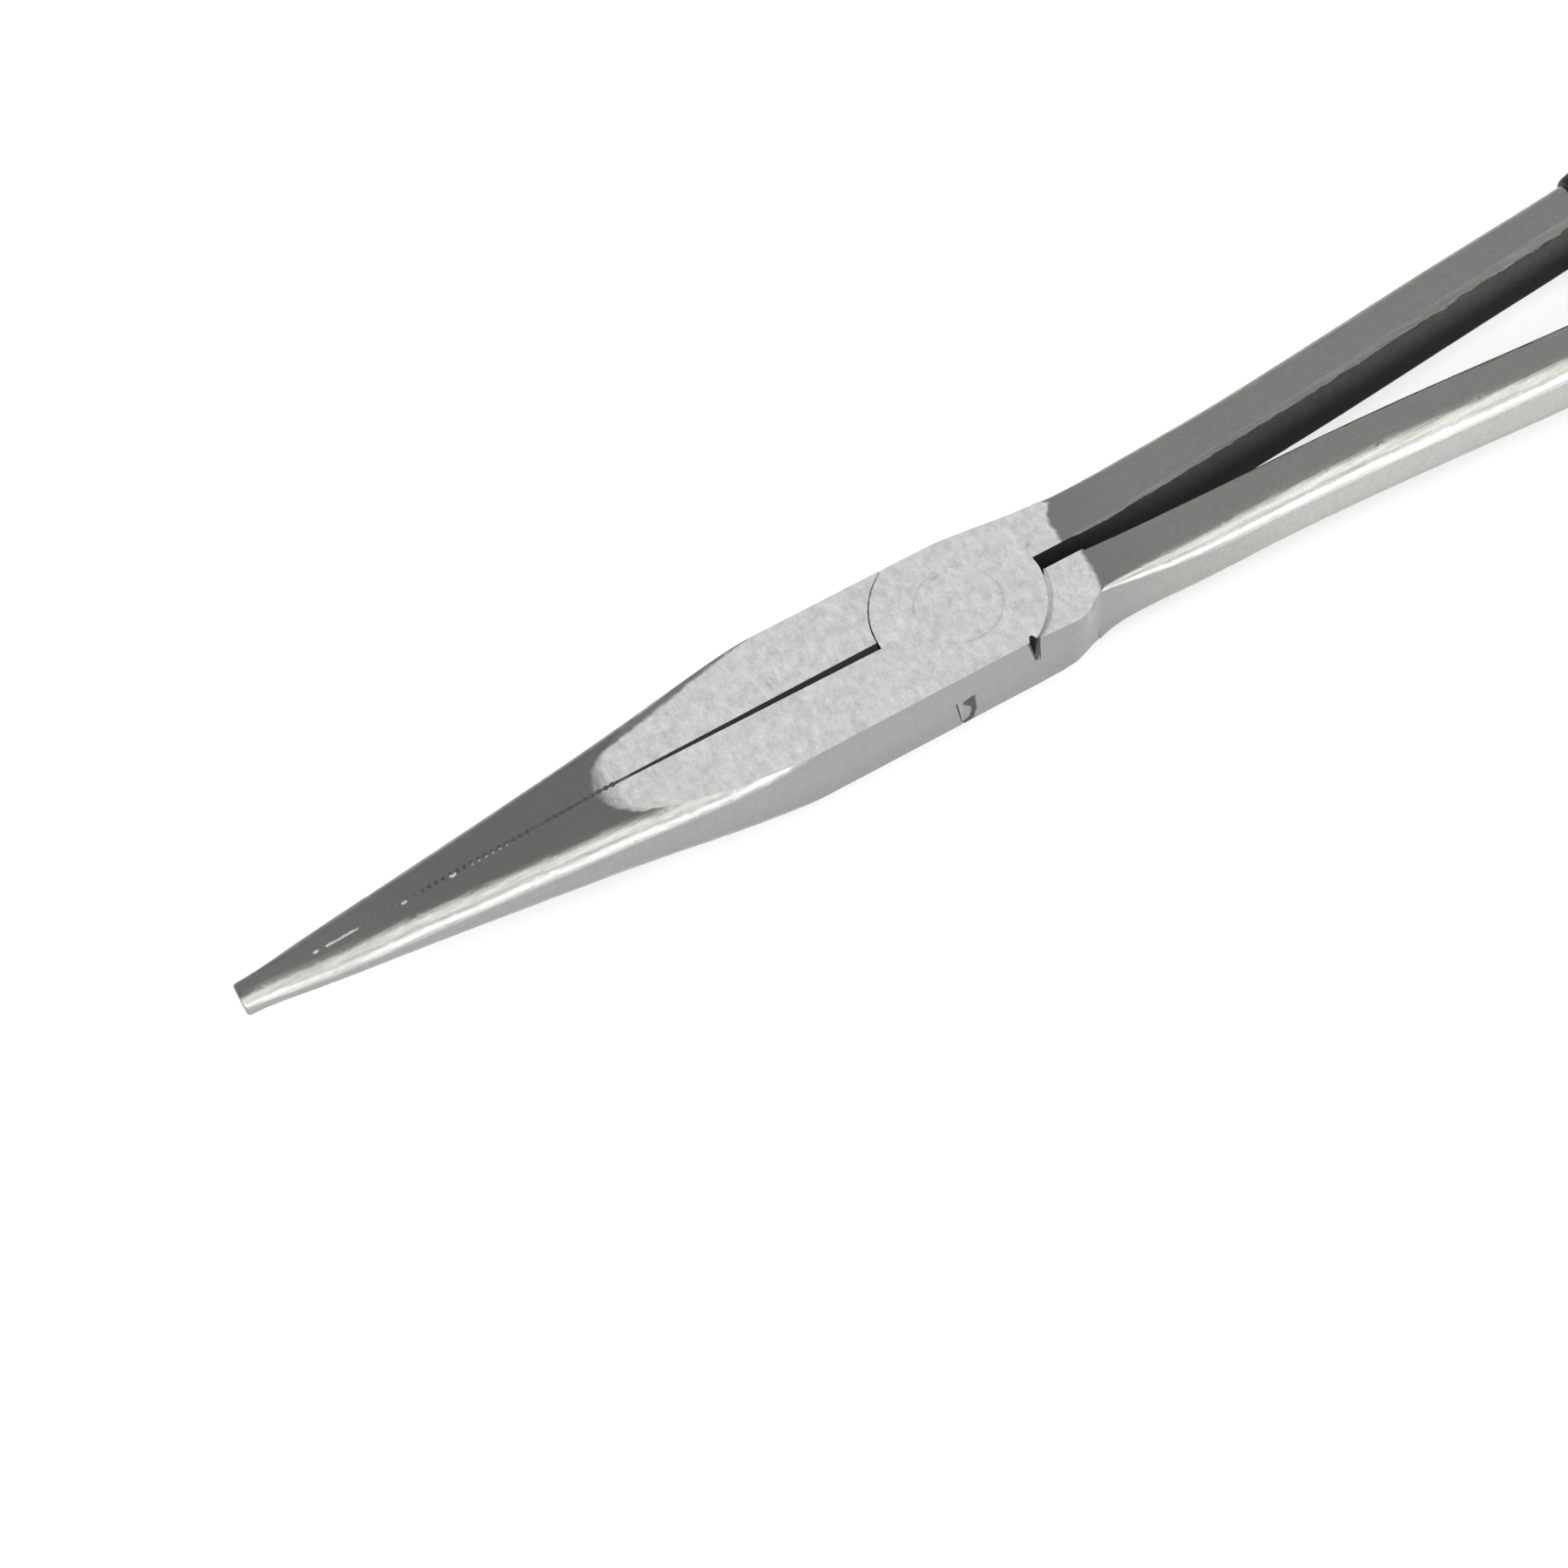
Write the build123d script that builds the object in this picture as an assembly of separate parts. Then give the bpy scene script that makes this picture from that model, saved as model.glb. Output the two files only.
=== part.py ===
# Long-reach needle nose pliers, closed.
# Frame: +X runs from the pivot to the handles, -X to the jaw tips, +Y to the side of the
# upper half's handle, +Z up along the pivot. The origin is on the pivot axis at the lower
# joint face (z = 0), and the upper joint face is z = JOINT_T.
# The two halves are one pattern of forging: the lower half is the upper half turned 180
# degrees about the long axis at mid thickness, except that both handles lean a little to +Y
# and that the outlines were ground by hand, so the sides differ by a few tenths.
from build123d import *
import math
import os

# ---------------------------------------------------------------- driving dimensions, mm
JOINT_T = 8.6            # joint thickness over the two ground faces
MID = JOINT_T / 2
LAP_R = 9.8              # radius of the round lap of each half
LAP_GAP = 0.05           # gap between the two sliding lap faces
LAP_Z = MID + LAP_GAP / 2  # sliding face of the upper half's lap
SEAM_JAW_MID = 0.34      # radial gap of the lap to the other half's jaw shoulder, inside
SEAM_JAW_FACE = 0.14     # the same gap where it opens on the ground face
SEAM_HANDLE_MID = 0.10   # radial gap of the lap to the other half's handle shoulder, inside
SEAM_HANDLE_FACE = 0.24  # the same gap where it opens on the ground face
SLOT_W = 2.0             # slot between the handles behind the joint
SLIT_W = 0.90            # slit between the jaws at the joint
GRIP_GAP = 0.03          # gap between the closed gripping faces

TIP_X = -88.0            # jaw tip
TIP_FILLET = 0.4
TEETH_X0 = -42.0         # the gripping faces run from here to the tip
TOUCH_X = -58.0          # they meet from here to the tip and stand a little open behind
TOOTH_PITCH = 0.85
TOOTH_DEPTH = 0.21       # at the back of the row; the teeth get finer towards the tip
TOOTH_TIP_SHARE = 0.22   # share of that depth left at the tip
TOOTH_LAND = 0.22        # flat between two grooves
TOOTH_TIP_MARGIN = 0.15  # no groove starts nearer to the tip

NOSE_END_X = -21.0       # the nose loft joins the joint block here
NOSE_END_HALF_W = 8.55
NECK_X = 13.0            # the handle loft joins the joint block here
NECK_HALF_W = 7.06
HANDLE_FLAT_X = 18.0     # the joint faces are ground no further than this

RIVET_R = 3.2            # rivet shank
RIVET_HEAD_R = 4.8       # countersunk head, ground flush
RIVET_HEAD_T = 1.6
RIVET_RUN = 0.03         # running clearance in the upper half

GRIP_X0 = 85.2           # front rim of the grip
GRIP_X1 = 192.0          # end of the grip
GRIP_CORNER_SHARE = 0.78  # corner radius over half width
GRIP_CROWN_R = 18.0
GRIP_FRONT_FILLET = 0.5
GRIP_END_FILLET = 3.4

BIG = 400.0              # beyond every part
UPPER, LOWER = 1, -1     # the halves, by the way the handle leans before the lower is turned

# ---------------------------------------------------------------- stations and outlines
# nose: x, half width, half height, corner radius, crown radius
NOSE = [
    (TIP_X, 1.58, 1.78, 1.34, 8.0),
    (-80.0, 2.52, 2.17, 1.90, 14.0),
    (-70.0, 3.66, 2.77, 2.27, 26.0),
    (-60.0, 4.74, 3.38, 2.44, 42.0),
    (-50.0, 5.80, 3.94, 2.36, 50.0),
    (-42.0, 6.72, 4.42, 2.25, 50.0),
    (-36.0, 7.54, 4.80, 2.15, 55.0),
    (-30.0, 8.24, 5.20, 2.00, 70.0),
    (-25.0, 8.54, 5.70, 1.90, 80.0),
    (NOSE_END_X, NOSE_END_HALF_W, 6.40, 1.50, 80.0),
]
# handle: x, inner y, outer y, half height, outer corner radius, inner corner radius,
# crown radius
HANDLE = [
    (NECK_X, 1.00, NECK_HALF_W, 4.68, 0.28, 0.26, 150.0),
    (14.5, 1.00, 6.86, 4.29, 0.42, 0.30, 150.0),
    (16.5, 1.02, 6.86, 4.11, 0.75, 0.35, 110.0),
    (20.0, 1.18, 7.16, 4.03, 1.25, 0.45, 70.0),
    (26.0, 1.52, 7.80, 4.06, 1.90, 0.55, 40.0),
    (34.0, 1.96, 8.22, 4.16, 2.25, 0.70, 30.0),
    (44.0, 2.52, 8.80, 4.30, 2.40, 0.85, 30.0),
    (56.0, 3.42, 9.72, 4.42, 2.40, 1.00, 30.0),
    (70.0, 4.70, 10.85, 4.52, 2.40, 1.10, 30.0),
    (84.0, 5.95, 11.92, 4.58, 2.35, 1.15, 30.0),
    (100.0, 7.95, 13.90, 4.50, 2.10, 1.20, 30.0),
    (120.0, 11.35, 17.15, 4.30, 1.90, 1.30, 30.0),
    (140.0, 14.80, 20.35, 4.05, 1.70, 1.40, 30.0),
    (160.0, 17.30, 22.50, 3.70, 1.50, 1.40, 30.0),
    (174.0, 18.20, 23.20, 3.45, 1.40, 1.30, 30.0),
    (184.0, 18.50, 23.40, 3.30, 1.30, 1.20, 30.0),
]
# hand grinding: what each half adds at the stations above, to the nose's half width
# and to the handle's outer y
JAW_MORE = {
    UPPER: [0.0] * 10,
    LOWER: [0.30, 0.32, 0.25, 0.12, 0.0, -0.10, -0.20, -0.22, -0.12, 0.0],
}
HANDLE_MORE = {
    UPPER: [0.04, 0.20, 0.39, 0.34, 0.10] + [0.0] * 11,
    LOWER: [-0.05, -0.10, -0.14, -0.12, -0.12, -0.20, -0.24, -0.26, -0.26, -0.22] + [0.0] * 6,
}
# lean of both handles to the +Y side: x, shift
LEAN = [(16.5, 0.0), (34.0, 0.42), (46.0, 0.72), (58.0, 0.95), (70.0, 1.10), (84.0, 1.25),
        (100.0, 1.35), (GRIP_X1, 1.40)]
# grip: x, centre y, half width, half height
GRIP = [
    (GRIP_X0, 9.05, 3.86, 5.42),
    (87.5, 9.33, 4.16, 5.72),
    (93.0, 10.10, 4.65, 6.25),
    (101.0, 11.25, 5.10, 6.70),
    (115.0, 13.40, 5.60, 7.15),
    (130.0, 15.95, 5.95, 7.45),
    (145.0, 18.20, 6.10, 7.60),
    (160.0, 19.90, 6.10, 7.55),
    (175.0, 20.75, 5.95, 7.30),
    (GRIP_X1, 21.00, 5.60, 6.80),
]
# side of the joint seen from above: x, y
PLAN_SIDE = [(NOSE_END_X, NOSE_END_HALF_W), (-12.0, 8.53), (-3.0, 8.47), (4.5, 8.44),
             (8.4, 8.34), (10.9, 7.78), (NECK_X, NECK_HALF_W)]
PLAN_NECK_SLOPE = -0.26
# outer side of the heel at the lower and at the upper joint face: x, y
HEEL_LOW = [(0.0, 8.46), (4.5, 8.50), (8.0, 8.66), (10.3, 8.74), (11.6, 8.34), (12.5, 7.66),
            (13.3, 7.12), (14.1, 6.72), (14.9, 6.30)]
HEEL_HIGH = [(0.0, 8.46), (4.5, 8.43), (7.8, 8.36), (9.4, 8.18), (11.1, 7.58), (12.3, 7.10),
             (13.3, 6.84), (14.1, 6.60), (14.9, 6.26)]
# the side of the joint on the +Y side behind the pivot is ground in to this line: x, y
SHAVED = [(0.0, 8.47), (2.4, 8.33), (4.4, 8.08), (6.5, 7.80), (8.5, 7.50), (10.5, 7.25),
          (12.6, 7.08), (14.6, 7.08)]
SHAVED_TANGENTS = [(1, -0.01), (1, 0.02)]
SHAVED_OUT_Y = 14.0      # outer limit of the ground-off piece
# chipped corner of the lap, opening the seam to a V on the -Y side of the joint
CHIP_X0, CHIP_X1 = 3.85, 5.35
CHIP_TIP_X, CHIP_TIP_Z = 4.45, 4.6
CHIP_TOP_Z = JOINT_T + 0.3
CHIP_SECTIONS = [(-9.1, 1.12), (-7.7, 0.30)]  # y, scale of the V


# ---------------------------------------------------------------- helpers
def lean_at(x):
    """Shift of the handle to the +Y side at x, linear between the stations."""
    if x <= LEAN[0][0]:
        return 0.0
    for (xa, shift_a), (xb, shift_b) in zip(LEAN, LEAN[1:]):
        if x <= xb:
            return shift_a + (shift_b - shift_a) * (x - xa) / (xb - xa)
    return LEAN[-1][1]


def block(x0, x1, y0, y1, z0, z1):
    return Pos((x0 + x1) / 2, (y0 + y1) / 2, (z0 + z1) / 2) * Box(x1 - x0, y1 - y0, z1 - z0)


def line_edges(*points):
    """Straight edges from point to point."""
    return [Line(a, b).edges()[0] for a, b in zip(points, points[1:])]


def side_outline(points, base_y, z=0.0, tangents=None):
    """Closed edges: a spline through the points, closed by straight lines along base_y."""
    side = Spline(*[(x, y, z) for x, y in points], tangents=tangents)
    (xa, ya), (xb, yb) = points[0], points[-1]
    return [side.edges()[0],
            *line_edges((xb, yb, z), (xb, base_y, z), (xa, base_y, z), (xa, ya, z))]


def forged_section(x, y0, y1, half_h, r_y1, r_y0, crown_r):
    """Closed wire in the plane at x: crowned top and bottom, corner radius r_y1 on the y1
    side and r_y0 on the y0 side, upright straight sides, all tangent."""
    centre_y, half_w = (y0 + y1) / 2, (y1 - y0) / 2
    crown_z = half_h - crown_r

    def corner(r, sign):
        """Corner arc in y, z about the centre: height of its centre, crown end, middle."""
        z = crown_z + math.sqrt((crown_r - r) ** 2 - (half_w - r) ** 2)
        angle = math.atan2(z - crown_z, half_w - r)
        end = (sign * crown_r * math.cos(angle), crown_z + crown_r * math.sin(angle))
        middle = (sign * (half_w - r + r * math.cos(angle / 2)), z + r * math.sin(angle / 2))
        return z, end, middle

    def point(y, z):
        return (x, centre_y + y, MID + z)

    def arc(*points):
        return ThreePointArc(*[point(y, z) for y, z in points])

    def below(y_z):
        return (y_z[0], -y_z[1])

    z1, end1, mid1 = corner(r_y1, 1)
    z0, end0, mid0 = corner(r_y0, -1)
    curves = [
        arc(end0, (0, half_h), end1),
        arc(end1, mid1, (half_w, z1)),
        Line(point(half_w, z1), point(half_w, -z1)),
        arc((half_w, -z1), below(mid1), below(end1)),
        arc(below(end1), (0, -half_h), below(end0)),
        arc(below(end0), below(mid0), (-half_w, -z0)),
        Line(point(-half_w, -z0), point(-half_w, z0)),
        arc((-half_w, z0), mid0, end0),
    ]
    return Wire([curve.edges()[0] for curve in curves])


def turned(shape):
    """The same piece turned 180 degrees about the long axis at mid thickness."""
    return Pos(0, 0, MID) * (Rot(180, 0, 0) * (Pos(0, 0, -MID) * shape))


def one(shape):
    """The shape's only solid."""
    solids = shape.solids()
    if len(solids) != 1:
        raise SystemExit(f"expected one solid, got {len(solids)}")
    return solids[0]


# ---------------------------------------------------------------- joint
def joint_plan():
    """The joint block seen from above, through the thickness; both sides are alike."""
    plus, minus = [
        Spline(*[(x, sign * y) for x, y in PLAN_SIDE],
               tangents=[(1, 0), (1, sign * PLAN_NECK_SLOPE)])
        for sign in (1, -1)]
    neck = line_edges((NECK_X, NECK_HALF_W), (NECK_X, -NECK_HALF_W))
    nose_end = line_edges((NOSE_END_X, NOSE_END_HALF_W), (NOSE_END_X, -NOSE_END_HALF_W))
    face = make_face([*plus.edges(), *neck, *minus.edges(), *nose_end])
    return extrude(face, amount=JOINT_T)


PLAN = joint_plan()


def heel():
    """Handle side of the joint block; it bulges further out at the lower face."""
    return Solid.make_loft([Wire(side_outline(points, SLOT_W / 2, z))
                            for points, z in ((HEEL_LOW, 0.0), (HEEL_HIGH, JOINT_T))],
                           ruled=True)


def shaving():
    """What is ground off the +Y side of the joint behind the pivot."""
    over = 2.0
    face = make_face(side_outline(SHAVED, SHAVED_OUT_Y, tangents=SHAVED_TANGENTS))
    return Pos(0, 0, -over) * extrude(face, amount=JOINT_T + 2 * over)


def chip():
    """A wedge at the -Y side of the joint, widest at the upper face and running out below."""
    middle_x = (CHIP_X0 + CHIP_X1) / 2
    corners = [(CHIP_X0, CHIP_TOP_Z), (CHIP_X1, CHIP_TOP_Z), (CHIP_TIP_X, CHIP_TIP_Z)]
    wires = []
    for y, scale in CHIP_SECTIONS:
        points = [(middle_x + (x - middle_x) * scale, y, CHIP_TOP_Z - (CHIP_TOP_Z - z) * scale)
                  for x, z in corners]
        wires.append(Wire(line_edges(*points, points[0])))
    return Solid.make_loft(wires, ruled=True)


def lap_pocket(at_face, at_mid):
    """Room for the other half's round lap, with a tapered wall."""
    below = 5.0
    cone = Pos(0, 0, LAP_Z / 2) * Cone(LAP_R + at_face, LAP_R + at_mid, LAP_Z)
    return cone + Pos(0, 0, -below / 2) * Cylinder(LAP_R + at_face, below)


def build_lap():
    """The round upper layer, cut off at the sides of the joint."""
    lap = Pos(0, 0, (LAP_Z + JOINT_T) / 2) * Cylinder(LAP_R, JOINT_T - LAP_Z)
    return lap & PLAN


def rivet_solid(extra=0.0):
    """Rivet with a countersunk head at each face, its radii larger by extra."""
    r, head_r = RIVET_R + extra, RIVET_HEAD_R + extra
    profile = make_face(Polyline(
        (0, 0), (head_r, 0), (r, RIVET_HEAD_T), (r, JOINT_T - RIVET_HEAD_T),
        (head_r, JOINT_T), (0, JOINT_T), close=True))
    return revolve(Plane.XZ * profile, Axis.Z)


# ---------------------------------------------------------------- halves
def slit_half(x):
    """Half the opening between the jaws at x."""
    if x <= TOUCH_X:
        return GRIP_GAP / 2
    share = (x - TOUCH_X) / (-LAP_R - TOUCH_X)
    return GRIP_GAP / 2 + share * (SLIT_W / 2 - GRIP_GAP / 2)


def gripping_cutter():
    """What lies beyond the upper half's gripping face: a toothed line, then the slit."""
    start_x, end_x, far_y, over = TIP_X - 2, 1.0, 30.0, 5.0
    points = [(start_x, -GRIP_GAP / 2)]
    count = int((TEETH_X0 - TIP_X) / TOOTH_PITCH)
    half = (TOOTH_PITCH - TOOTH_LAND) / 2
    for i in range(count):
        x = TEETH_X0 - (count - i - 0.5) * TOOTH_PITCH
        if x - half < TIP_X + TOOTH_TIP_MARGIN:
            continue
        along = (x - TIP_X) / (TEETH_X0 - TIP_X)
        depth = TOOTH_DEPTH * (TOOTH_TIP_SHARE + (1 - TOOTH_TIP_SHARE) * along)
        points += [(x - half, -slit_half(x - half)), (x, -slit_half(x) - depth),
                   (x + half, -slit_half(x + half))]
    points += [(TEETH_X0, -slit_half(TEETH_X0)), (end_x, -slit_half(end_x)),
               (end_x, far_y), (start_x, far_y)]
    face = make_face(Polyline(*points, close=True))
    return Pos(0, 0, -over) * extrude(face, amount=JOINT_T + 2 * over)


def build_jaw(side):
    """Nose and the jaw side of the joint block, on the -Y side."""
    nose = Solid.make_loft([
        forged_section(x, -half_w - more, half_w + more, half_h, r, r, crown_r)
        for (x, half_w, half_h, r, crown_r), more in zip(NOSE, JAW_MORE[side])])
    nose = nose & block(-BIG, BIG, -BIG, BIG, 0, JOINT_T) & block(-BIG, BIG, -BIG, 0, -BIG, BIG)
    # edges of the tip face, without the one on the gripping side
    tip_edges = [e for e in nose.edges()
                 if e.center().X < TIP_X + 0.01 and abs(e.center().Y) > 1e-3]
    # the short tip edges may not take the fillet; the tip then stays sharp
    try:
        nose = fillet(tip_edges, TIP_FILLET)
    except Exception:
        pass
    jaw = nose + (PLAN & block(-BIG, 0, -BIG, 0, -1, JOINT_T + 1))
    jaw = jaw - gripping_cutter()
    return jaw - lap_pocket(SEAM_JAW_FACE, SEAM_JAW_MID)


def build_handle(side):
    """Shank and the handle side of the joint block, on the +Y side."""
    shank = Solid.make_loft([
        forged_section(x, y0 + side * lean_at(x), y1 + more + side * lean_at(x), *rest)
        for (x, y0, y1, *rest), more in zip(HANDLE, HANDLE_MORE[side])])
    for z0, z1 in ((JOINT_T, BIG), (-BIG, 0)):
        shank = shank - block(-BIG, HANDLE_FLAT_X, -BIG, BIG, z0, z1)
    handle = shank + heel()
    return handle - lap_pocket(SEAM_HANDLE_FACE, SEAM_HANDLE_MID)


def build_half(side):
    """One half as the upper half lies."""
    return build_jaw(side) + build_lap() + build_handle(side)


def finished(half, clearance):
    """The half in its final place with the rivet hole, the ground side and the chip."""
    return one(half - rivet_solid(clearance) - shaving() - chip())


# ---------------------------------------------------------------- grips
def build_grip(side):
    """Solid grip as the upper one lies; the handle is cut out of it later."""
    wires = []
    for x, centre_y, half_w, half_h in GRIP:
        y = centre_y + side * lean_at(x)
        corner_r = GRIP_CORNER_SHARE * half_w
        wires.append(forged_section(x, y - half_w, y + half_w, half_h, corner_r, corner_r,
                                    GRIP_CROWN_R))
    grip = Solid.make_loft(wires)
    front = [e for e in grip.edges() if e.center().X < GRIP_X0 + 0.01]
    grip = fillet(front, GRIP_FRONT_FILLET)
    end = [e for e in grip.edges() if e.center().X > GRIP_X1 - 0.01]
    return fillet(end, GRIP_END_FILLET)


# ---------------------------------------------------------------- pieces
upper = finished(build_half(UPPER), RIVET_RUN)
lower = finished(turned(build_half(LOWER)), 0.0)

NODES = {
    "upper_half": upper,
    "lower_half": lower,
    "pivot_rivet": one(rivet_solid()),
    "upper_handle_grip": one(build_grip(UPPER) - upper),
    "lower_handle_grip": one(turned(build_grip(LOWER)) - lower),
}

os.makedirs("parts", exist_ok=True)
for name, solid in NODES.items():
    export_step(solid, f"parts/{name}.step")
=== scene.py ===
"""Pliers: two crossed forged steel halves, a pivot rivet and two black moulded grips.

The long axis lies along X with the rivet at the origin. The closed jaws point to -X and the
handles to +X. The upper half's handle spreads to +Y and the lower half's to -Y. The joint is
TOP thick and lies flat on the floor. Sizes are in mm unless a name or comment says otherwise.
"""

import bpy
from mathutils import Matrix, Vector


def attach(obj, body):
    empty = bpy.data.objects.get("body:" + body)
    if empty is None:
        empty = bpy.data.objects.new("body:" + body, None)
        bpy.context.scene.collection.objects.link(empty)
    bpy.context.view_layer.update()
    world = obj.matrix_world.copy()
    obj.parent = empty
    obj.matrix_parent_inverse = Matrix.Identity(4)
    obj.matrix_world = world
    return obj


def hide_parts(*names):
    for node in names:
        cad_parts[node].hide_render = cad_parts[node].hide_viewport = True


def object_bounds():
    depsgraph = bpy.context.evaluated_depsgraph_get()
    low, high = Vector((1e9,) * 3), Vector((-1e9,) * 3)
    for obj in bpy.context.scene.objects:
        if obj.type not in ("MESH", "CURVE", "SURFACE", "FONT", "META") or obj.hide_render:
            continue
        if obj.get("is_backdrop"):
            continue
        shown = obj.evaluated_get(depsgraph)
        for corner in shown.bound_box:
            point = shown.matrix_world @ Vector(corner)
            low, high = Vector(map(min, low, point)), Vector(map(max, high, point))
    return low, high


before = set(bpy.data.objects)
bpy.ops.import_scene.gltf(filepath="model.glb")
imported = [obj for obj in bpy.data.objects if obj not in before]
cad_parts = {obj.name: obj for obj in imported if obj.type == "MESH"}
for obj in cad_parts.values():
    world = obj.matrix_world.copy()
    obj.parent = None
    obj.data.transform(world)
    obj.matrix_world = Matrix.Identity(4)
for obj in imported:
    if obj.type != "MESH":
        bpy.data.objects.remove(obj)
CAD_LO, CAD_HI = (list(v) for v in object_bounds())

import math
from functools import reduce

import bpy
import numpy as np
from mathutils import Matrix, Vector

MM = 0.001
TOP = 8.6  # height of the upper joint face
MID = TOP / 2  # height of the middle plane
WHITE = (1.0, 1.0, 1.0, 1.0)


# ---------------------------------------------------------------- node helpers
class Value:
    """A node output used in arithmetic; every operation adds a node of its own."""

    def __init__(self, tree, socket):
        self.tree = tree
        self.socket = socket

    def __add__(self, other):
        return self.tree.math("ADD", self, other)

    def __radd__(self, other):
        return self.tree.math("ADD", other, self)

    def __sub__(self, other):
        return self.tree.math("SUBTRACT", self, other)

    def __rsub__(self, other):
        return self.tree.math("SUBTRACT", other, self)

    def __mul__(self, other):
        return self.tree.math("MULTIPLY", self, other)

    def __rmul__(self, other):
        return self.tree.math("MULTIPLY", other, self)

    def __truediv__(self, other):
        return self.tree.math("DIVIDE", self, other)

    def __pow__(self, other):
        return self.tree.math("POWER", self, other)

    def __neg__(self):
        return self * -1.0

    def __abs__(self):
        return self.tree.math("ABSOLUTE", self)

    def root(self):
        return self.tree.math("SQRT", self)

    def most(self, other):
        return self.tree.math("MAXIMUM", self, other)

    def least(self, other):
        return self.tree.math("MINIMUM", self, other)

    def swing(self, amount):
        """A 0 to 1 texture turned into a swing about zero, amount wide."""
        return (self - 0.5) * amount

    def ramp(self, start, end, low=0.0, high=1.0, smooth=True):
        """low at start, high at end, held outside; start may lie above end."""
        if end < start:
            start, end, low, high = end, start, high, low
        return self.tree.value(
            "ShaderNodeMapRange", {0: self, 1: start, 2: end, 3: low, 4: high},
            interpolation_type="SMOOTHSTEP" if smooth else "LINEAR", clamp=True,
        )

    def band(self, start, end, soft):
        """1 between start and end, falling to 0 over soft on both sides."""
        return self.ramp(start - soft, start) * self.ramp(end + soft, end)

    def mix(self, off, on):
        """With this value as the mask: the number off at 0, on at 1."""
        return self.tree.value("ShaderNodeMix", {0: self, 2: off, 3: on}, data_type="FLOAT")

    def blend(self, off, on):
        """With this value as the mask: the colour off at 0, on at 1."""
        return self.tree.blend(self, off, on, "MIX")

    def tint(self, other):
        """This colour multiplied by another."""
        return self.tree.blend(1.0, self, other, "MULTIPLY")

    def grey(self):
        """This number as a grey colour."""
        return self.tree.value("ShaderNodeCombineXYZ", {0: self, 1: self, 2: self})


class Tree:
    """A small writer for one node tree."""

    def __init__(self, tree):
        self.tree = tree
        self.count = 0
        tree.nodes.clear()

    def node(self, kind, inputs=None, **settings):
        """Add a node. Input keys are indices or names; None leaves an input alone."""
        node = self.tree.nodes.new(kind)
        node.location = (190 * (self.count % 14), -230 * (self.count // 14))
        self.count += 1
        for key, value in settings.items():
            setattr(node, key, value)
        for key, value in (inputs or {}).items():
            if isinstance(value, Value):
                value = value.socket
            if isinstance(value, bpy.types.NodeSocket):
                self.tree.links.new(value, node.inputs[key])
            elif value is not None:
                node.inputs[key].default_value = value
        return node

    def value(self, kind, inputs=None, output=0, **settings):
        return Value(self, self.node(kind, inputs, **settings).outputs[output])

    def shader(self, kind, inputs):
        return self.node(kind, inputs).outputs[0]

    def math(self, operation, first, second=None):
        return self.value("ShaderNodeMath", {0: first, 1: second}, operation=operation)

    def blend(self, factor, first, second, how):
        return self.value(
            "ShaderNodeMix", {0: factor, 6: first, 7: second}, output=2,
            data_type="RGBA", blend_type=how,
        )

    def xyz(self, vector):
        outputs = self.node("ShaderNodeSeparateXYZ", {0: vector}).outputs
        return [Value(self, outputs[i]) for i in range(3)]

    def scaled(self, vector, scale, turn=0):
        """Scale a place along each axis, after turning it about Z by turn degrees."""
        rotation = (0.0, 0.0, math.radians(turn))
        inputs = {0: vector, "Rotation": rotation, "Scale": scale}
        return self.value("ShaderNodeMapping", inputs)

    def noise(self, vector, scale, detail, rough):
        inputs = {"Vector": vector, "Scale": scale, "Detail": detail, "Roughness": rough}
        return self.value("ShaderNodeTexNoise", inputs, noise_dimensions="3D")

    def bump(self, height, distance, strength):
        """Normal of a relief; distance is in metres."""
        inputs = {"Strength": strength, "Distance": distance, "Height": height}
        return self.value("ShaderNodeBump", inputs)


def new_material(name):
    material = bpy.data.materials.new(name)
    material.use_nodes = True
    return material, Tree(material.node_tree)


def near_segment(across, up, ends, width):
    """1 near the line through two end points, soft out to width; lies in any plane."""
    (across0, up0), (across1, up1) = ends
    run, rise = across1 - across0, up1 - up0
    length2 = run * run + rise * rise
    along = (across - across0) * (run / length2) + (up - up0) * (rise / length2)
    along = along.most(0.0).least(1.0)
    off_across = across - (across0 + along * run)
    off_up = up - (up0 + along * rise)
    return (off_across * off_across + off_up * off_up).root().ramp(width, width * 0.45)


# ---------------------------------------------------------------- steel
# base grey levels of the steel surfaces
NOSE_GREY, HANDLE_GREY, GROUND_GREY = 0.455, 0.50, 0.70
# dark faces: painted shade from the first grey deep down to the second near the light
SKIN_AND_SHADE_GREYS = (0.008, 0.062)  # forged skin, deep down and near the light
BROW_GREY = 0.150
# painted light: pale grey inside the open seam beside the lap
SEAM_LIGHT_COLOUR = (0.62, 0.62, 0.62, 1.0)
# painted shadow in the chipped gap beside the lap
NOTCH_SHADOW_COLOUR = (0.035, 0.035, 0.035, 1.0)

# slight hues over the greys
NOSE_HUE = (0.995, 1.0, 0.97, 1.0)
HANDLE_HUE = (0.99, 1.0, 0.945, 1.0)
GROUND_HUE = (1.0, 1.0, 0.99, 1.0)
BROW_HUE = (1.0, 1.0, 0.95, 1.0)

# roughness of the steel surfaces
NOSE_ROUGH, HANDLE_ROUGH, GROUND_ROUGH, SKIN_ROUGH, MATT_ROUGH = 0.17, 0.20, 0.46, 0.55, 0.65

# bump distance of the polished and the ground surfaces, metres
POLISHED_RELIEF, GROUND_RELIEF = 0.0000028, 0.0000080

TOOTH_PITCH = 0.85  # of the teeth along the jaw line
TEETH_FROM = 42.0  # distance of their first one from the rivet, towards -X

# stains on a joint face: x, y, radius, strength
STAINS = (
    (-21.7, 2.3, 1.5, 0.22), (-20.2, 1.6, 0.7, 0.16), (-0.6, 4.7, 0.8, 0.24),
    (10.0, 2.5, 0.75, 0.26), (-33.0, 4.6, 1.3, 0.12), (4.6, -1.6, 0.8, 0.12),
)

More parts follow.
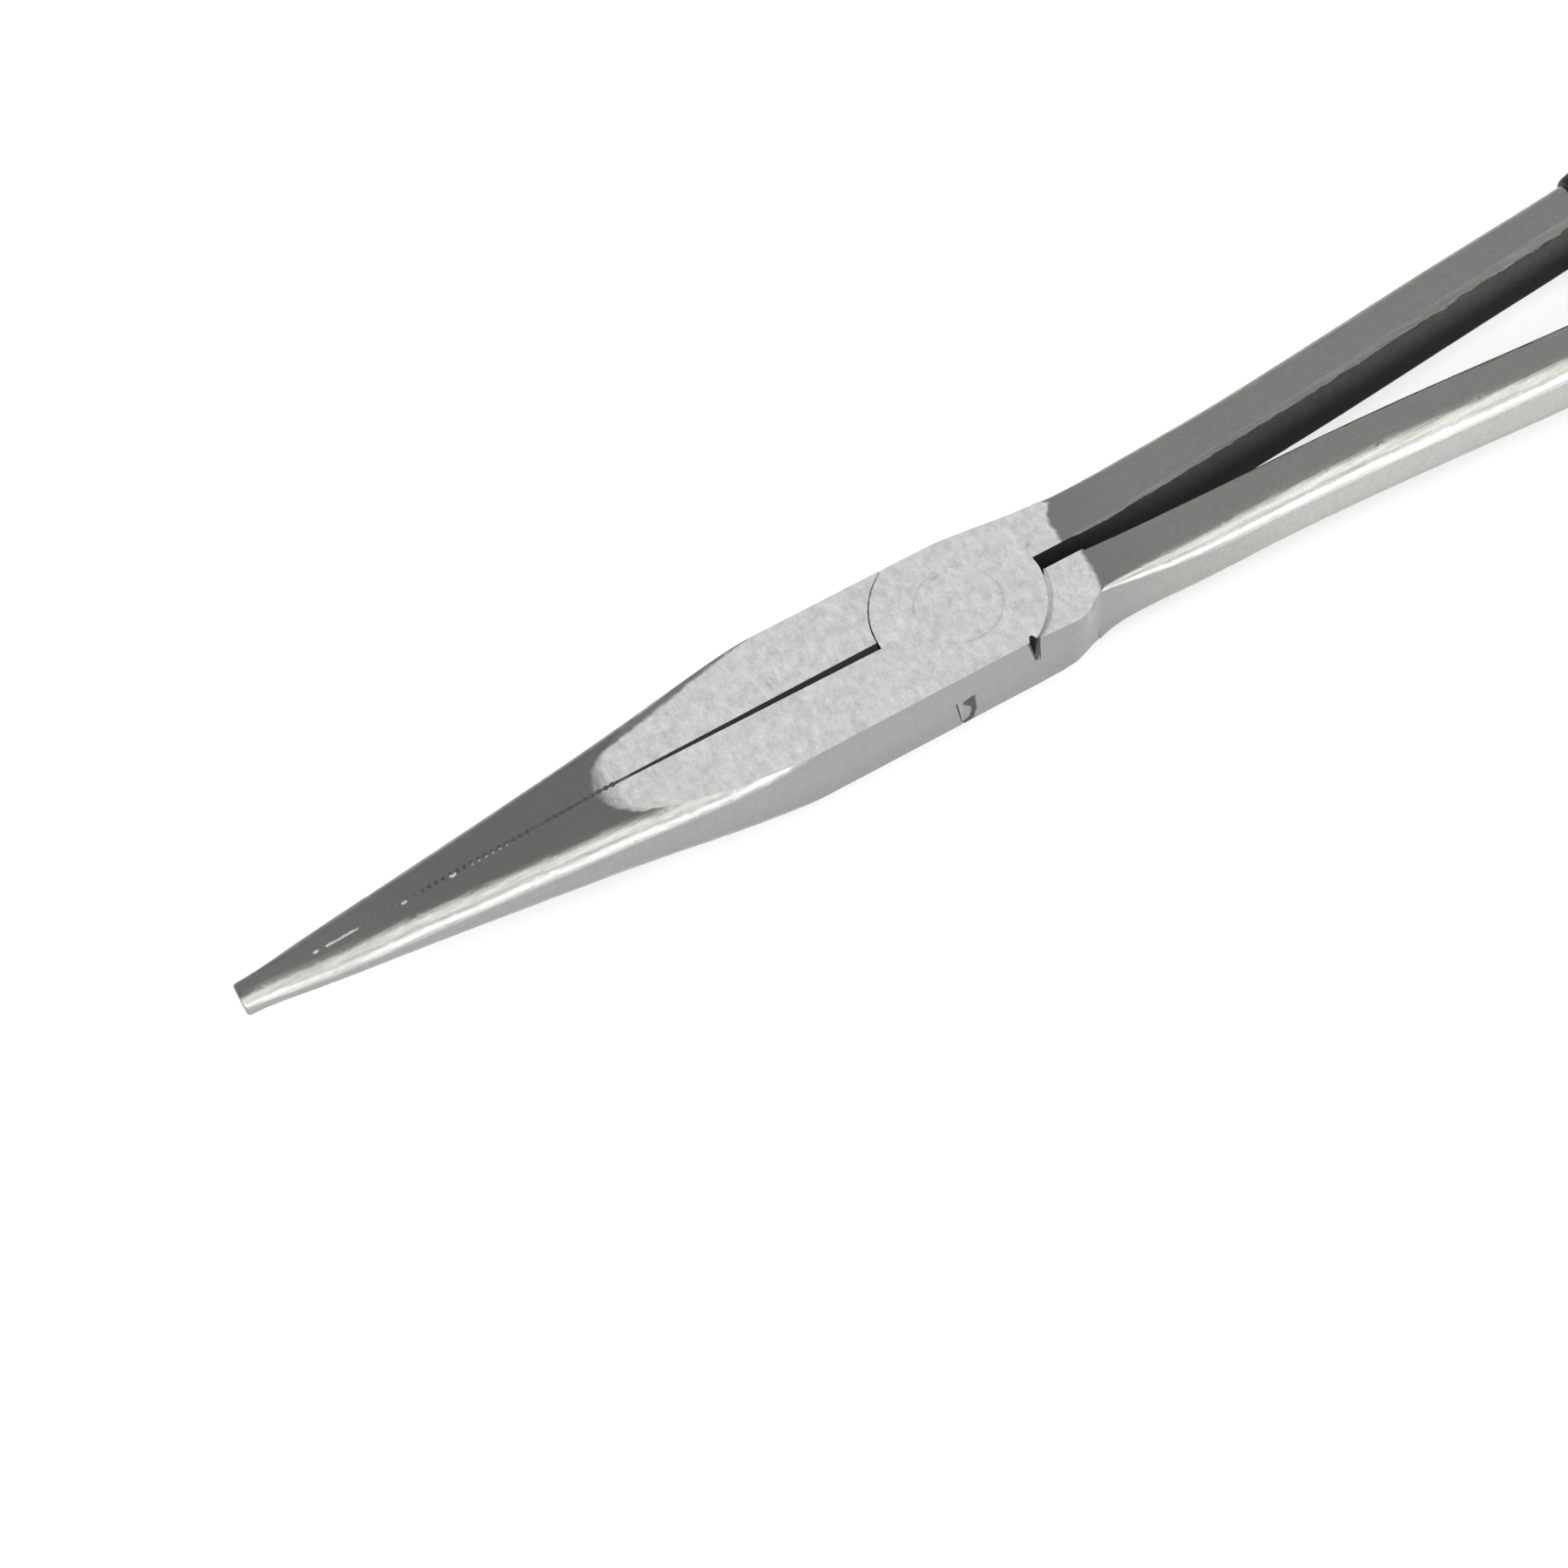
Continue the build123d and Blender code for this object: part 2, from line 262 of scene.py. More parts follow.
# strokes that make the nick in the lap: (x, z) at both ends, half width
NICK_STROKES = (
    (((-4.25, 3.70), (-3.70, 3.85)), 0.60), (((-4.00, 3.30), (-3.62, 2.90)), 0.50),
    (((-3.46, 4.10), (-3.50, 1.70)), 0.46), (((-3.52, 1.80), (-3.95, 0.62)), 0.46),
    (((-3.95, 0.55), (-4.75, 0.25)), 0.50),
)

# painted highlights on the jaw line where its knocked edges catch the light: a long one,
# (x, y) at both ends and half width, then short ones, x and half width, all LENGTH long at the same y
LONG_GLINT = (((-77.2, -0.14), (-73.6, -0.10)), 0.30)
SHORT_GLINTS = ((-78.6, 0.30), (-67.9, 0.34), (-62.0, 0.42))
GLINT_HALF_LENGTH, GLINT_Y = 0.10, -0.16


class Steel:
    """Forged, polished tool steel.

    side is +1 for the half whose handle leaves to +Y, -1 for the other, 0 for the rivet.
    Limits on place values are mm; limits on facing values are parts of the unit normal.
    """

    def __init__(self, tree, side):
        self.tree = tree
        self.side = side
        coords = tree.node("ShaderNodeTexCoord")
        self.point = tree.scaled(coords.outputs["Object"], (1000, 1000, 1000))
        self.place = x, y, z = tree.xyz(self.point)
        self.face = tree.xyz(coords.outputs["Normal"])
        # both joint faces carry the same layout, turned about the long axis
        self.turned_y = y * tree.math("SIGN", z - MID)
        self.radius = (x * x + y * y).root()
        self.side_y = abs(y) if side else None
        self.handle = x.ramp(15.0, 24.0)
        self.upright = abs(self.face[2]).ramp(0.30, 0.12)

        # work marks and mottling
        self.mottle = self.noise(scale=0.9, detail=4, rough=0.55)
        self.fine = self.noise(scale=4.0, detail=3, rough=0.6)
        self.grain = self.strokes((1.1, 2.6, 2.0), detail=4, rough=0.62, turn=38)
        self.stroke_a = self.strokes((4.6, 0.60, 2.0), detail=3, rough=0.6, turn=38)
        self.stroke_b = self.strokes((0.45, 5.0, 3.0), detail=3, rough=0.6, turn=-14)
        self.lengthwise = self.strokes((0.07, 2.3, 2.3), detail=4, rough=0.62)
        self.crosswise = self.strokes((5.0, 0.6, 0.6), detail=3, rough=0.55, turn=12)

        self.ground = self.ground_faces()
        # the skin mask is partly forged skin, partly painted shade in the slot, the slit and deep down
        self.skin = self.skin_and_shade_mask()
        self.bevel = abs(self.face[2]).ramp(0.975, 0.93) * abs(self.face[2]).ramp(0.12, 0.30)
        self.tone = self.uneven_tone()

    def noise(self, scale, detail, rough):
        return self.tree.noise(self.point, scale, detail, rough)

    def strokes(self, scale, detail, rough, turn=0):
        """Noise drawn out along the axes whose scale is small."""
        stretched = self.tree.scaled(self.point, scale, turn)
        return self.tree.noise(stretched, 1.0, detail, rough)

    def tooth_wave(self):
        angle = (self.place[0] + TEETH_FROM) * (2 * math.pi / TOOTH_PITCH)
        return self.tree.math("SINE", angle)

    def ground_faces(self):
        """The two parallel planes of the joint, worn soft where they run out."""
        x, y, z = self.place
        turned_y = self.turned_y
        waver = self.mottle.swing(0.07)
        high = (z + waver).ramp(TOP - 0.075, TOP - 0.020)
        low = (z - waver).ramp(0.075, 0.020)
        flat = abs(self.face[2]).ramp(0.985, 0.9985)
        ragged_x = x + self.noise(scale=1.3, detail=4, rough=0.65).swing(2.2)

        # the ends towards the handles curve away on both sides of the long axis
        far_end = 13.5 + (turned_y - 3.5).most(0.0) ** 2.0 * 0.17
        near_end = 14.6 - (-1.5 - turned_y).most(0.0) ** 2.0 * 0.022
        end_x = turned_y.ramp(-0.2, 0.2).mix(near_end, far_end)
        handle_end = (x * 0.6 + ragged_x * 0.4 - end_x).ramp(0.30, -0.30)

        # towards the nose the planes run out along a line on each side
        nose_x = x * 0.2 + ragged_x * 0.8 + self.stroke_a.swing(2.4)
        nose_end = nose_x.ramp(-45.8, -41.4)
        run_far = 4.15 + (x + 41.6) * 0.226
        run_near = 4.55 + (x + 43.6) * 0.262
        worn = self.strokes((0.7, 1.6, 1.6), detail=3, rough=0.6).swing(0.7)
        keep_far = (turned_y + worn - run_far).ramp(0.28, -0.28)
        keep_near = (-turned_y + worn - run_near).ramp(0.28, -0.28)
        nose_end = nose_end * (keep_far * keep_near)
        return high.most(low) * flat * (handle_end * nose_end)

    def skin_and_shade_mask(self):
        """Dark faces: forged skin on the inner faces of the handles, and painted shade on the walls in
        the slot and in the slit.
        """
        x, y, z = self.place
        face_x, face_y, face_z = self.face
        if not self.side:
            return x * 0.0
        tatter = self.strokes((0.55, 2.2, 2.2), detail=4, rough=0.65)
        ragged = face_y * -self.side + tatter.swing(0.50)
        limits = (0.78, 0.90) if self.side > 0 else (0.80, 0.92)
        skin = ragged.ramp(*limits) * x.ramp(10.0, 10.6)
        wall = abs(face_y).ramp(0.6, 0.8)
        # painted shade on the walls of the slot and the slit
        slot = y.band(-1.4, 1.4, soft=0.1) * x.band(8.8, 18.0, soft=0.5)
        slit = y.band(-0.62, 0.62, soft=0.1) * x.band(-40.0, -8.8, soft=1.0)
        skin = skin.most(wall * slot.most(slit))
        slot_end = y.band(-1.3, 1.3, soft=0.1) * x.band(9.0, 11.0, soft=0.3)
        return skin.most(abs(face_x).ramp(0.7, 0.85) * slot_end)

    def uneven_tone(self):
        """Lighter and darker marks, as a swing about zero."""
        ground, handle = self.ground, self.handle
        scuffs = self.strokes((1.3, 0.8, 1.0), detail=5, rough=0.68, turn=30)
        patches = self.noise(scale=0.55, detail=3, rough=0.55)
        tone = (
            self.mottle.swing(ground.mix(0.07, 0.15))
            + ground.mix(self.lengthwise, self.stroke_a).swing(ground.mix(0.13, 0.20))
            + ground.mix(self.crosswise, self.stroke_b).swing(self.upright.mix(0.08, 0.20))
            + self.grain.swing(handle.mix(0.06, 0.24))
            + self.fine.swing(ground.mix(handle.mix(0.10, 0.24), 0.34))
            + scuffs.swing(0.80) * ground
            + patches.swing(0.20) * ground
        )
        # long streaks on the slanting faces
        rolled = self.strokes((0.10, 3.2, 3.2), detail=4, rough=0.68)
        broad = self.strokes((0.045, 1.1, 1.1), detail=2, rough=0.5)
        streaks = rolled.swing(0.95) + broad.swing(0.55)
        return tone + streaks * self.bevel * (1.0 - ground)

    def polished_grey(self):
        """Grey of the clean steel; the handles are a little duller than the nose. Painted light lifts
        the handles' upright flanks and painted shade darkens upright walls low down.
        """
        x, y, z = self.place
        base = self.ground.mix(self.handle.mix(NOSE_GREY, HANDLE_GREY), GROUND_GREY)
        # painted light: the upright flanks of the handles are made lighter
        painted_flank_light = abs(self.face[2]).ramp(0.30, 0.12) * x.ramp(20.0, 42.0)
        base = base * (1.0 + painted_flank_light * 0.26)
        grey = base * (1.0 + self.tone)
        # painted shade: upright walls darken towards the floor
        return grey * z.ramp(0.8, 5.2).mix(self.upright.mix(1.0, 0.90), 1.0)

    def seams_and_stains(self):
        """Marks on the ground faces: grime and painted shade along both joint seams, the rivet's rim
        and the stains.
        """
        x = self.place[0]
        radius, turned_y = self.radius, self.turned_y
        flaky = self.noise(scale=0.8, detail=3, rough=0.6).ramp(0.35, 0.6)
        # grime and painted shade along both joint seams
        handle_seam_grime_and_shade = radius.band(9.72, 10.25, soft=0.10) * (
            x.ramp(3.5, 4.5) * turned_y.ramp(-0.9, -1.1)
        )
        nose_seam_grime_and_shade = radius.band(9.74, 9.90, soft=0.06) * (
            x.ramp(-3.0, -5.0) * turned_y.ramp(0.2, 0.5)
        )
        seam = handle_seam_grime_and_shade * 0.30 + nose_seam_grime_and_shade * flaky.mix(0.10, 0.42)
        broken = self.noise(scale=0.5, detail=3, rough=0.6)
        seam = seam + radius.band(4.82, 5.02, soft=0.07) * broken.ramp(
            0.38, 0.62, low=0.03, high=0.17
        )
        spots = []
        for spot_x, spot_y, size, amount in STAINS:
            far = ((x - spot_x) ** 2.0 + (turned_y - spot_y) ** 2.0).root()
            blotch = self.noise(scale=1.5, detail=2, rough=0.5).ramp(0.40, 0.60)
            spots.append(far.ramp(size, size * 0.15) * blotch * amount)
        return (seam + reduce(Value.__add__, spots)) * self.ground

    def lap_marks(self, marks):
        """Add the lap's knocked corners on the -Y side of the joint: a dark nick in the lower corner
        and painted shade in the chipped V at the upper corner.
        """
        x, y, z = self.place
        face_y = self.face[1]
        # the lower corner is nicked
        flank = (-face_y).ramp(0.7, 0.85)
        strokes = [near_segment(x, z, ends, width) for ends, width in NICK_STROKES]
        marks = marks.most(reduce(Value.most, strokes) * flank * 0.74)
        # the upper corner on the handle end is chipped to a V, narrower lower down; painted shade fills
        # the V
        fall = (TOP - z) * 0.15
        v_chip_shade = (x - (3.85 + fall)).ramp(-0.06, 0.06) * (x - (5.42 - fall)).ramp(0.06, -0.06)
        v_chip_shade = v_chip_shade * z.ramp(4.5, 4.9) * (-face_y).ramp(0.30, 0.60)
        return marks.most(v_chip_shade * 0.78)

    def jaw_marks(self, marks):
        """Add grime and painted shade along the closed jaw line, a darker band along the slit's rim and
        painted shade between the ends of the teeth.
        """
        x = self.place[0]
        side_y = self.side_y
        line_width = x.ramp(-62.0, -45.0).mix(0.09, 0.16)
        line = x.ramp(-41.0, -43.0) * (side_y / line_width).ramp(1.0, 0.3)
        patchy = self.strokes((0.26, 0.26, 0.26), detail=2, rough=0.5)
        # grime and painted shade in the gap of the closed jaw line, in patches
        grime_and_shade = patchy.ramp(0.40, 0.54) * x.ramp(-84.0, -56.0, low=0.20, high=0.70)
        marks = marks.most(line * grime_and_shade)

        rim_width = x.ramp(-44.0, -10.0, low=0.24, high=0.56, smooth=False)
        rim = (side_y / rim_width).ramp(1.0, 0.70) * x.band(-44.0, -10.2, soft=0.5)
        marks = marks.most(rim * self.ground * 0.16)

        # painted shade between the ends of the teeth
        tooth_gap_shade = self.tooth_wave().ramp(-0.1, 0.7) * (
            side_y.ramp(0.34, 0.16) * x.band(-66.0, -42.2, soft=1.0)
        )
        return marks.most(tooth_gap_shade * patchy.ramp(0.42, 0.50).mix(0.12, 0.55))

    def painted_glints(self):
        """Painted highlights on the upper half where the knocked edges of the jaw line catch the light.
        """
        x, y, z = self.place
        if self.side <= 0:
            return x * 0.0
        glint = near_segment(x, y, *LONG_GLINT)
        glint = glint * self.strokes((0.9, 2.5, 1.0), detail=3, rough=0.6).ramp(0.30, 0.50)
        for middle, width in SHORT_GLINTS:
            ends = ((middle - GLINT_HALF_LENGTH, GLINT_Y), (middle + GLINT_HALF_LENGTH, GLINT_Y))
            glint = glint.most(near_segment(x, y, ends, width))
        beads = self.tooth_wave().ramp(0.1, 0.8) * (
            self.side_y.ramp(0.44, 0.24) * x.band(-59.6, -55.4, soft=0.4)
        )
        return glint.most(beads * 0.6) * (self.face[2].ramp(0.8, 0.95) * z.ramp(4.6, 5.0))

    def brow_mask(self):
        """Matt strip between the top of the +Y handle and its dark inner face."""
        x = self.place[0]
        face_x, face_y, face_z = self.face
        if self.side <= 0:
            return x * 0.0
        brow = (-face_y).ramp(0.06, 0.20) * (x.ramp(12.0, 15.0) * face_z.ramp(-0.1, 0.1))
        return brow * (1.0 - self.skin)

    def seam_light_mask(self):
        """Painted light: pale matt steel inside the open seam beside the lap, so the gap shows grey."""
        x, y, z = self.place
        seam_light = self.radius.band(9.82, 10.6, soft=0.03) * abs(self.face[2]).ramp(0.5, 0.35) * (
            abs(y).ramp(8.3, 8.1) * x.ramp(3.5, 4.5)
        )
        return seam_light * (1.0 - self.skin)

    def low_view_shade(self):
        """Darken what would mirror the studio as pure white from a low angle.

        These are the ground planes, the walls facing -Y and the small end facets.
        """
        x = self.place[0]
        face_x, face_y, face_z = self.face
        incoming = self.tree.node("ShaderNodeNewGeometry").outputs["Incoming"]
        view_z = abs(self.tree.xyz(incoming)[2])
        end_facets = x.band(14.0, 16.0, soft=0.1).most(x.band(-89.0, -87.0, soft=0.1))
        facet = abs(face_x).ramp(0.45, 0.65) * end_facets
        square_on = face_y.ramp(-0.55, -0.90) * 0.42
        darkened = (self.ground * 0.60).most(facet * 0.65).most(square_on)
        return 1.0 - view_z.ramp(0.62, 0.22) * darkened

    def roughness(self):
        cloud = self.noise(scale=0.22, detail=2, rough=0.5)
        rough = self.handle.mix(NOSE_ROUGH, HANDLE_ROUGH) + cloud.swing(0.05)
        # duller towards the tip of the nose
        rough = rough + self.place[0].ramp(-62.0, -82.0, low=0.0, high=0.13)
        rough = self.ground.mix(rough, GROUND_ROUGH + self.mottle.swing(0.16))
        return self.skin.mix(rough, SKIN_ROUGH)

    def relief_normal(self):
        """Normal of the work marks; the weights are relative heights."""
        ground, handle = self.ground, self.handle
        polish_height = self.bevel.mix(3.0, handle.mix(7.0, 9.0))
        relief = (
            ground.mix(self.lengthwise, self.stroke_a) * ground.mix(polish_height, 1.0)
            + ground.mix(self.crosswise, self.stroke_b) * ground.mix(0.9, 0.7)
            + (self.fine + self.grain) * handle.mix(0.15, 0.45)
            + self.noise(scale=1.6, detail=4, rough=0.65) * (self.skin * 9.0)
        )
        return self.tree.bump(relief, ground.mix(POLISHED_RELIEF, GROUND_RELIEF), strength=1.0)

    def notch_shadow_mask(self):
        """Painted shadow in the chipped gap beside the lap on the -Y side."""
        x, y, z = self.place
        notch_shadow = x.band(3.75, 5.42, soft=0.05) * (y.ramp(-7.55, -7.7) * z.ramp(4.4, 4.6))
        return notch_shadow * (abs(self.face[1]).ramp(0.86, 0.78) * self.face[2].ramp(0.97, 0.92))

    def crevice_glow(self, notch_shadow):
        """Faint light inside narrow gaps; the number after each mask is its strength."""
        x, y, z = self.place
        face_x, face_y, face_z = self.face
        steep = abs(face_z).ramp(0.95, 0.85)
        rivet_ring = self.radius.band(4.55, 4.95, soft=0.06) * (
            steep * abs(z - MID).ramp(3.3, 3.8)
        )
        glow = rivet_ring * 0.24
        if not self.side:
            return glow
        # the level faces at mid height
        layer = abs(face_z).ramp(0.8, 0.95) * (
            z.band(4.2, 4.4, soft=0.05) * abs(y).ramp(7.4, 8.0)
        )
        glow = glow.most(layer * 0.20)
        # the round wall of the joint, towards the handles and towards the nose
        wall = steep * abs(face_x).ramp(0.28, 0.42) * self.radius.band(9.70, 10.25, soft=0.06)
        glow = glow.most(wall * x.ramp(3.0, 4.5) * abs(y).ramp(3.0, 8.0).mix(0.20, 0.10))
        nose_wall = wall * x.ramp(-3.0, -4.5) * abs(y).ramp(7.6, 8.2)
        glow = glow.most(nose_wall * 0.06)
        # between the jaws, stronger towards the tip
        between = abs(face_y).ramp(0.35, 0.55) * abs(face_z).ramp(0.7, 0.5) * (
            x.ramp(-8.6, -9.2) * abs(y).ramp(0.75, 0.65)
        )
        glow = glow.most(between * x.ramp(-20.0, -84.0, low=0.026, high=0.095))
        return glow * (1.0 - notch_shadow)

    def shader(self):
        x, y, z = self.place
        ground, skin = self.ground, self.skin
        marks = self.seams_and_stains()
        if self.side:
            marks = self.jaw_marks(self.lap_marks(marks))
        grey = self.polished_grey() * (1.0 - marks.least(0.85))
        # painted highlights where the knocked edges of the jaw line catch the light
        glint = self.painted_glints()
        grey = glint.mix(grey, 0.75)
        hue = ground.blend(self.handle.blend(NOSE_HUE, HANDLE_HUE), GROUND_HUE)
        colour = grey.grey().tint(hue)

        # painted shade on the dark faces: the less open to the light they lie, the darker
        openness = z.ramp(2.6, 8.2) if self.side > 0 else z.ramp(6.0, 0.4)
        openness = openness * x.ramp(8.0, 34.0, low=0.25, high=1.0)
        uneven = 0.45 + self.noise(scale=1.1, detail=4, rough=0.6) * 1.10
        dark = openness.mix(*SKIN_AND_SHADE_GREYS) * uneven
        colour = skin.blend(colour, dark.grey())

        brow = self.brow_mask()
        if self.side > 0:
            brow_grey = BROW_GREY * (1.0 + self.tone * 1.1)
            colour = brow.blend(colour, brow_grey.grey().tint(BROW_HUE))
        # painted light: pale matt grey inside the open seam beside the lap
        seam_light = self.seam_light_mask()
        colour = seam_light.blend(colour, SEAM_LIGHT_COLOUR)
        colour = colour.tint(self.low_view_shade().grey())

        # painted shadow in the chipped gap beside the lap
        notch_shadow = self.notch_shadow_mask() if self.side else None
        if self.side:
            colour = notch_shadow.blend(colour, NOTCH_SHADOW_COLOUR)
            skin = skin.most(notch_shadow)
        metallic = skin.mix(ground.most(glint).mix(1.0, 0.62), 0.10)
        return self.tree.shader("ShaderNodeBsdfPrincipled", {
            "Base Color": colour,
            "Emission Color": WHITE,
            "Emission Strength": self.crevice_glow(notch_shadow),
            "Metallic": seam_light.most(brow).mix(metallic, 0.05),
            "Roughness": seam_light.most(brow).mix(self.roughness(), MATT_ROUGH),
            "Specular IOR Level": skin.most(brow).mix(0.5, openness.mix(0.06, 0.22)),
            "Normal": self.relief_normal(),
        })


def steel(name, side):
    material, tree = new_material(name)
    tree.node("ShaderNodeOutputMaterial", {"Surface": Steel(tree, side).shader()})
    return material


# ---------------------------------------------------------------- moulded grip
def black_vinyl():
    """Black moulded vinyl with a fine leather grain."""
    material, tree = new_material("black_grip_vinyl")
    coords = tree.node("ShaderNodeTexCoord")
    point = tree.scaled(coords.outputs["Object"], (1000, 1000, 1000))
    grain = tree.value(
        "ShaderNodeTexVoronoi", {"Vector": point, "Scale": 1.7}, feature="SMOOTH_F1"
    )
    pores = tree.noise(point, scale=6.0, detail=4, rough=0.6)
    haze = tree.noise(point, scale=0.12, detail=3, rough=0.55)
    grey = 0.008 + haze * 0.007 + pores.swing(0.004)
    shader = tree.shader("ShaderNodeBsdfPrincipled", {
        "Base Color": grey.grey().tint((0.94, 1.0, 1.02, 1.0)),
        "Roughness": 0.42 + (haze.swing(0.22) + pores.swing(0.10)),
        "Normal": tree.bump(grain * 0.8 + pores * 0.35, distance=0.00006, strength=0.55),
        "Specular IOR Level": 0.27,
    })
    tree.node("ShaderNodeOutputMaterial", {"Surface": shader})
    return material


# rows along the grip: x, centre y, half width, half height
GRIP = np.array([
    (85.2, 9.05, 3.86, 5.42), (87.5, 9.33, 4.16, 5.72), (93, 10.10, 4.65, 6.25),
    (101, 11.25, 5.10, 6.70), (115, 13.40, 5.60, 7.15), (130, 15.95, 5.95, 7.45),
    (145, 18.20, 6.10, 7.60), (160, 19.90, 6.10, 7.55), (175, 20.75, 5.95, 7.30),
    (192, 21.00, 5.60, 6.80),
], float)
# rows of the steel inside: x, centre y, half width, half height
SHANK = np.array([
    (84, 8.935, 2.985, 4.58), (100, 10.925, 2.975, 4.50), (120, 14.25, 2.90, 4.30),
], float)
# shift of both handles towards +Y: x, shift
LEAN = np.array([
    (16.5, 0), (34, 0.42), (46, 0.72), (58, 0.95), (70, 1.10), (84, 1.25), (100, 1.35),
    (192, 1.40),
], float)
GRIP_POWER, SHANK_POWER = 2.55, 2.8  # squareness of the ovals; 2 is an ellipse

LOOP_POINTS = 192
ANGLES = np.linspace(0.0, 2 * np.pi, LOOP_POINTS, endpoint=False)  # from the outer side
# x of the rim round the loop; it reaches further forward on the inner side
RIM = 84.85 - 0.35 * (1 - np.cos(ANGLES))
RIM_RADIUS, RIM_STEPS = 0.58, 6
SKIN_STEPS = 260
END_X, END_RADIUS, END_STEPS = 191.95, 3.6, 12
RIB_FROM, RIB_PITCH, RIB_DEPTH = 104.0, 3.6, 0.38


def row_at(table, x):
    """Cubic reading of a table of rows at x."""
    stations = table[:, 0]
    i = int(np.clip(np.searchsorted(stations, x) - 1, 0, len(stations) - 2))
    span = stations[i + 1] - stations[i]
    t = min(max((x - stations[i]) / span, 0.0), 1.0)
    row = []
    for values in table[:, 1:].T:
        slopes = np.diff(values) / np.diff(stations)
        tangents = np.concatenate([[slopes[0]], (slopes[:-1] + slopes[1:]) / 2, [slopes[-1]]])
        row.append(
            (2 * t**3 - 3 * t**2 + 1) * values[i]
            + (t**3 - 2 * t**2 + t) * span * tangents[i]
            + (-2 * t**3 + 3 * t**2) * values[i + 1]
            + (t**3 - t**2) * span * tangents[i + 1]
        )
    return row


def step(value, start, end):
    """Smooth step from 0 at start to 1 at end."""
    t = np.clip((value - start) / (end - start), 0.0, 1.0)
    return t * t * (3 - 2 * t)


def ridge(offset, width):
    """Bell curve, 1 at no offset."""
    return math.exp(-((offset / width) ** 2))


def oval_point(side, x, angle, centre, half_width, half_height, power):
    """Point of a rounded oval; the -Y handle is the +Y one turned about the X axis."""
    cos, sin = np.cos(angle), np.sin(angle)
    reach = (np.abs(cos / half_width) ** power + np.abs(sin / half_height) ** power)
    reach = reach ** (-1.0 / power)
    lean = side * np.interp(x, LEAN[:, 0], LEAN[:, 1])
    return (x, side * (centre + lean + reach * cos), MID + side * reach * sin)


def groove_depth(x, angle, rim_x, half_height):
    """Depth of everything sunk into the sleeve's skin at one point."""
    sideways = abs(math.cos(angle))
    # ribs across the outer side, shallower on the inner side
    panel = step(x, 103.0, 106.5) * step(x, 178.5, 175.0) * step(sideways, 0.42, 0.66)
    wave = max(0.0, math.cos(2 * math.pi * (x - RIB_FROM) / RIB_PITCH)) ** 1.4
    depth = RIB_DEPTH * wave * panel * (1.0 if math.cos(angle) > 0 else 0.8)
    # a shallow border groove round the ribbed panel
    border = step(x, 101.5, 103.0) * step(x, 180.0, 178.5)
    depth += 0.22 * ridge(sideways - 0.34, 0.035) * border
    # parting line of the mould
    depth += 0.10 * ridge(math.sin(angle) * half_height, 0.16) * step(x, 87.0, 88.5)
    # groove behind the rim
    return depth + 0.30 * ridge(x - rim_x - 3.1, 0.75)


def skin_loop(side, loop_x, inset, grooved=False):
    """One loop of the outer skin; loop_x is one x or one for each point."""
    points = []
    for x, angle, rim_x in zip(np.broadcast_to(loop_x, ANGLES.shape), ANGLES, RIM):
        centre, half_width, half_height = row_at(GRIP, x)
        depth = inset
        if grooved:
            depth += groove_depth(x, angle, rim_x, half_height)
        points.append(oval_point(
            side, x, angle, centre, half_width - depth, half_height - depth, GRIP_POWER
        ))
    return points


def shank_loop(side, loop_x, scale):
    """One loop against the steel inside the sleeve."""
    points = []
    for x, angle in zip(np.broadcast_to(loop_x, ANGLES.shape), ANGLES):
        centre, half_width, half_height = row_at(SHANK, x)
        points.append(oval_point(
            side, x, angle, centre, half_width * scale, half_height * scale, SHANK_POWER
        ))
    return points


def sleeve_loops(side):
    """Loops from deep inside the sleeve, out over the rim, along the skin, over the end."""
    loops = [
        shank_loop(side, 94.0, 0.90),
        shank_loop(side, 90.0, 0.96),
        shank_loop(side, RIM + 0.30, 0.97),
        shank_loop(side, RIM + 0.10, 1.01),
        skin_loop(side, RIM + 0.02, 0.62),
    ]
    for k in range(1, RIM_STEPS + 1):
        turn = k / RIM_STEPS * math.pi / 2
        inset = RIM_RADIUS * (1 - math.sin(turn))
        loops.append(skin_loop(side, RIM + RIM_RADIUS * (1 - math.cos(turn)), inset))
    dome_x = END_X - END_RADIUS
    for part in np.linspace(0.0, 1.0, SKIN_STEPS + 1)[1:]:
        loop_x = (RIM + RIM_RADIUS) * (1 - part) + dome_x * part
        loops.append(skin_loop(side, loop_x, 0.0, grooved=True))
    for k in range(1, END_STEPS + 1):
        turn = k / END_STEPS * math.pi / 2
        inset = END_RADIUS * (1 - math.cos(turn))
        loops.append(skin_loop(side, dome_x + END_RADIUS * math.sin(turn), inset))
    # a shallow dish in the end
    loops.append(skin_loop(side, END_X, END_RADIUS + 0.9))
    loops.append(skin_loop(side, END_X - 0.45, END_RADIUS + 1.1))
    return loops


def mesh_object(name, points, faces, material):
    mesh = bpy.data.meshes.new(name)
    mesh.from_pydata(points, [], faces)
    mesh.materials.append(material)
    item = bpy.data.objects.new(name, mesh)
    bpy.context.scene.collection.objects.link(item)
    return item


